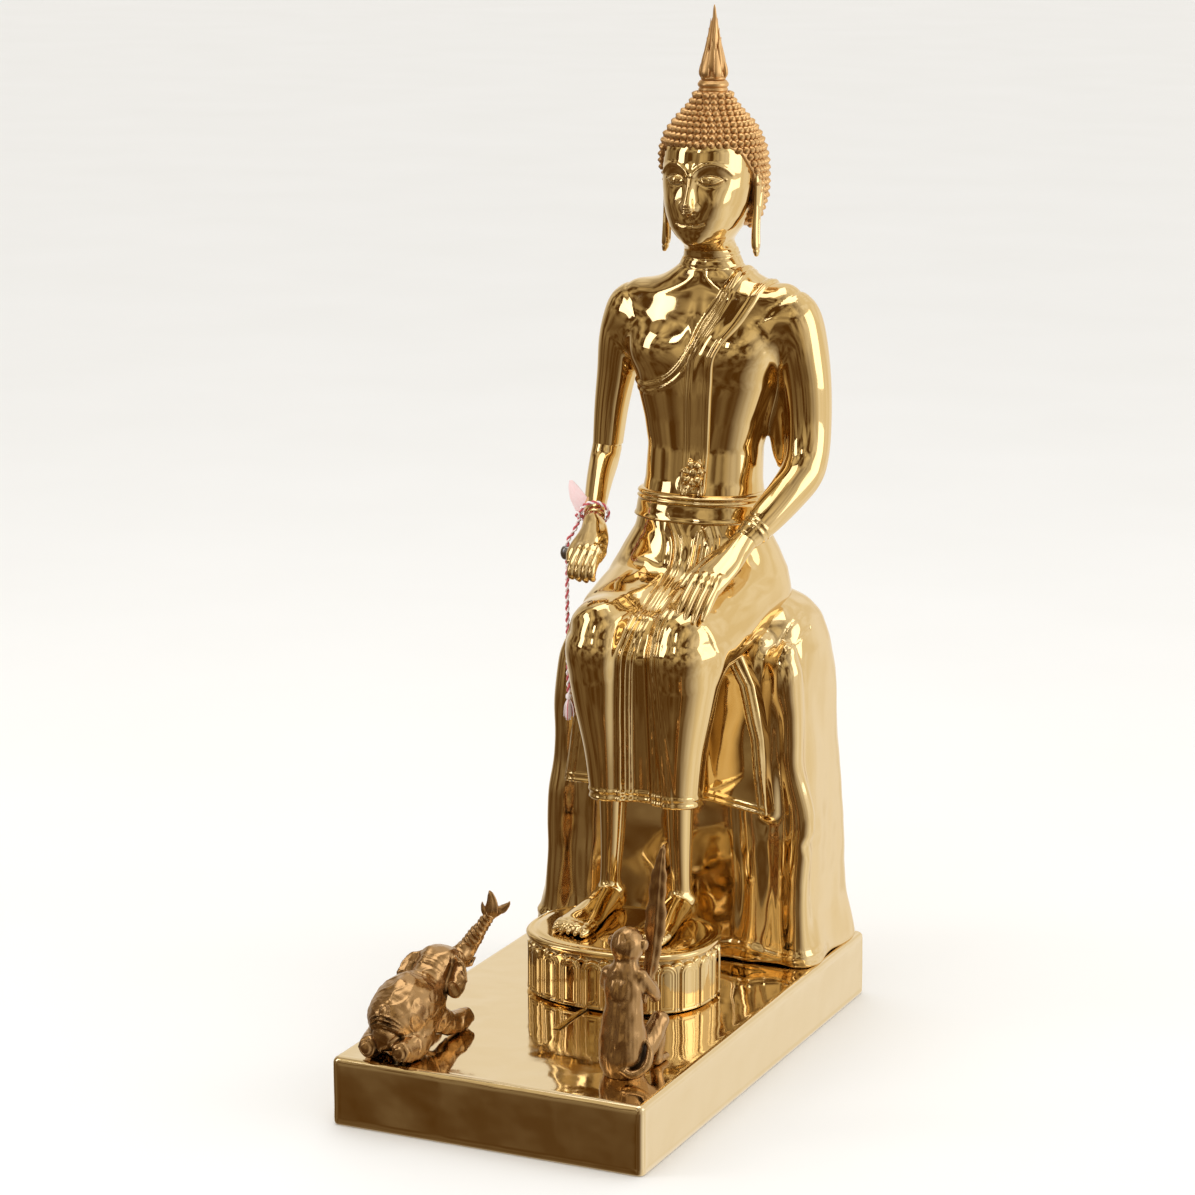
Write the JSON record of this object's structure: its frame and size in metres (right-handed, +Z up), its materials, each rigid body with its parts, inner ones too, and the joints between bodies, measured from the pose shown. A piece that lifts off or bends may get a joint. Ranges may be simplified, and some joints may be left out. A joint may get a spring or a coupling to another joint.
{
  "type": "seated buddha statue",
  "caption": "Seated brass figure on a rock throne with lotus footstool, kneeling elephant and monkey on a long plinth; lift-off flame finial.",
  "frame": {"origin": "middle of the plinth's underside", "axes": "+Z up through the flame, -Y the way the figure faces, +X the figure's left"},
  "size_m": [0.24, 0.424, 0.762],
  "materials": {
    "plinth_brass": "hand-polished cast brass, mirror bright",
    "rock_brass": "polished cast brass over a hammered surface",
    "polished_brass": "hand-polished cast brass, mirror bright",
    "matte_brass": "matte as-cast brass, orange gold",
    "flame_brass": "satin cast brass with darker grooves",
    "dark_brass": "dark brown patinated cast brass",
    "cast_brass": "rough as-cast brass inside the figure",
    "string_cotton": "twisted red and white cotton",
    "slip_paper": "thin pale pink paper",
    "bead_metal": "grey metal bead, lightly worn",
    "steel_fixing": "plain zinc-plated steel"
  },
  "bodies": {
    "statue": {"base_plinth": "plinth_brass", "rock_throne": "rock_brass", "lotus_footstool": "polished_brass", "footstool_top_plate": "polished_brass", "lower_body": "polished_brass", "robe_back_panel": "polished_brass", "waist_belt": "polished_brass", "waist_sleeve": "cast_brass", "torso": "polished_brass", "shoulder_sash": "polished_brass", "sash_ornament": "polished_brass", "left_hand": "polished_brass", "right_forearm": "polished_brass", "right_hand": "polished_brass", "head": "polished_brass", "hair_cap": "matte_brass", "finial_collar": "matte_brass", "elephant": "dark_brass", "elephant_offering": "dark_brass", "monkey": "dark_brass", "monkey_branch": "dark_brass", "wrist_string": "string_cotton", "blessing_slip": "slip_paper", "string_tail": "string_cotton", "string_bead": "bead_metal", "string_tassel": "string_cotton", "tie_rod": "steel_fixing", "tie_rod_nuts": "steel_fixing", "tie_rod_washers": "steel_fixing", "rock_studs": "steel_fixing", "stool_studs": "steel_fixing", "animal_studs": "steel_fixing", "stud_nuts": "steel_fixing", "neck_dowel": "steel_fixing", "arm_dowels": "steel_fixing"},
    "flame": {"flame_finial": "flame_brass", "flame_peg": "cast_brass"}
  },
  "joints": [
    {"name": "flame_lift", "type": "slide", "parent": "statue", "child": "flame", "axis": [0, 0, 1], "range_m": [0, 0.03]}
  ]
}
